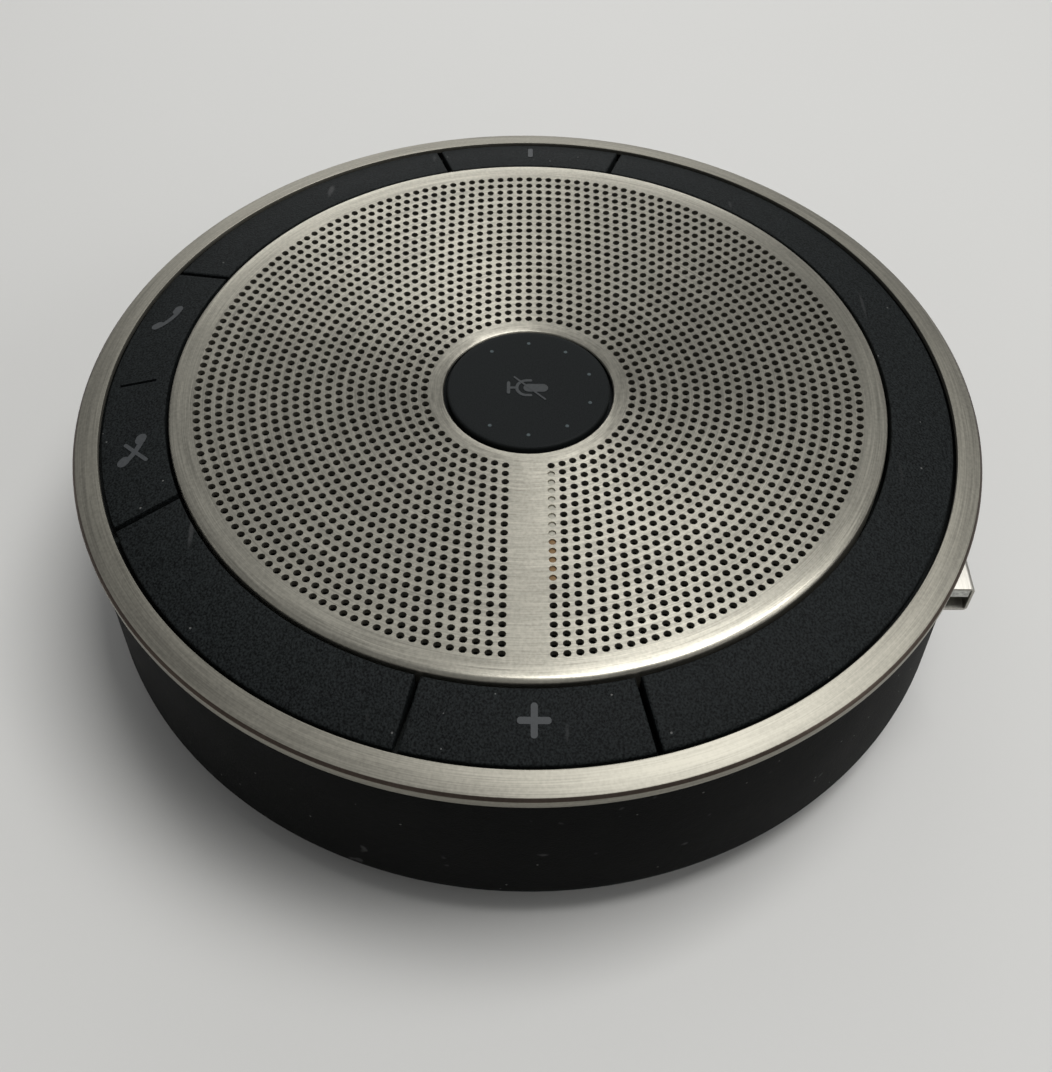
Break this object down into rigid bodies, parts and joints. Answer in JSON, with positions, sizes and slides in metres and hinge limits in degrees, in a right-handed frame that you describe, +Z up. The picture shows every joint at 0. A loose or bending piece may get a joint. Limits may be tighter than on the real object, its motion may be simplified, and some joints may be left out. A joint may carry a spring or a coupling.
{
  "type": "conference speakerphone",
  "caption": "Round desk speakerphone with a dished perforated grille, a ring of press keys, a central mute button and a USB lead stowed in its base.",
  "frame": {"origin": "on the table, under the middle of the round body", "axes": "+Z up; the user sits on the -Y side, volume down is at -X, volume up at +X, and the stowed plug is at +Y"},
  "size_m": [0.12, 0.12, 0.033],
  "materials": {
    "brushed_steel": "fine circumferential brushing",
    "bright_steel": "bright nickel plated",
    "key_plastic": "fine spark grain, blue-black",
    "button_plastic": "soft-touch, smooth",
    "case_plastic": "moulded, matt",
    "shell_plastic": "soft-touch coat, matt",
    "rubber": "matt",
    "cable_sheath": "satin sheath",
    "mesh_cloth": "black acoustic mesh",
    "board": "solder mask",
    "chip_black": "moulded epoxy",
    "light_plastic": "natural",
    "cone_paper": "pressed pulp",
    "copper_wire": "enamelled copper wire",
    "spider_cloth": "resin-stiffened cloth",
    "ferrite": "sintered ferrite"
  },
  "bodies": {
    "chassis": {"trim_ring": "brushed_steel", "speaker_grille": "brushed_steel", "dust_mesh": "mesh_cloth", "indicator_guide": "light_plastic", "rear_ring_cover": "key_plastic", "left_ring_cover": "key_plastic", "right_ring_cover": "key_plastic", "mute_light_ring": "light_plastic", "mute_board": "board", "mute_switch": "chip_black", "button_carrier": "case_plastic", "upper_housing": "case_plastic", "side_shell": "shell_plastic", "base_tub": "case_plastic", "bottom_cover": "case_plastic", "foot_ring": "rubber", "housing_screw_1": "bright_steel", "housing_screw_2": "bright_steel", "housing_screw_3": "bright_steel", "housing_screw_4": "bright_steel", "usb_plug_shell": "bright_steel", "usb_plug_tongue": "light_plastic", "usb_plug_overmould": "rubber", "usb_cable": "cable_sheath", "cable_gland": "rubber", "key_board_up": "board", "key_board_down": "board", "key_board_call": "board", "switch_up": "chip_black", "switch_down": "chip_black", "switch_answer": "chip_black", "switch_end": "chip_black", "speaker_gasket": "rubber", "speaker_basket": "case_plastic", "speaker_surround": "rubber", "speaker_spider": "spider_cloth", "speaker_top_plate": "bright_steel", "speaker_magnet": "ferrite", "speaker_yoke": "bright_steel", "main_board": "board", "board_screw_1": "bright_steel", "board_screw_2": "bright_steel", "board_screw_3": "bright_steel", "audio_processor": "chip_black", "audio_amplifier": "chip_black", "cable_header": "light_plastic", "microphone_1": "bright_steel", "microphone_boot_1": "rubber", "microphone_2": "bright_steel", "microphone_boot_2": "rubber"},
    "volume_up": {"volume_up_key": "key_plastic"},
    "volume_down": {"volume_down_key": "key_plastic"},
    "call": {"call_key": "key_plastic"},
    "mute": {"mute_button": "button_plastic"},
    "diaphragm": {"speaker_cone": "cone_paper", "speaker_dust_cap": "cone_paper", "voice_coil": "copper_wire"}
  },
  "joints": [
    {"name": "volume_up_press", "type": "slide", "parent": "chassis", "child": "volume_up", "axis": [0, 0, -1], "range_m": [0, 0.0005], "stiffness_N_per_m": 3000},
    {"name": "volume_down_press", "type": "slide", "parent": "chassis", "child": "volume_down", "axis": [0, 0, -1], "range_m": [0, 0.0005], "stiffness_N_per_m": 3000},
    {"name": "mute_press", "type": "slide", "parent": "chassis", "child": "mute", "axis": [0, 0, -1], "range_m": [0, 0.0005], "stiffness_N_per_m": 3000},
    {"name": "call_rock", "type": "hinge", "parent": "chassis", "child": "call", "pos_m": [0, -0.0518, 0.0293], "axis": [0, 1, 0], "range_deg": [-1.2, 1.2], "stiffness_Nm_per_rad": 0.6},
    {"name": "cone_travel", "type": "slide", "parent": "chassis", "child": "diaphragm", "axis": [0, 0, 1], "range_m": [-0.0004, 0.0004], "stiffness_N_per_m": 1500}
  ]
}
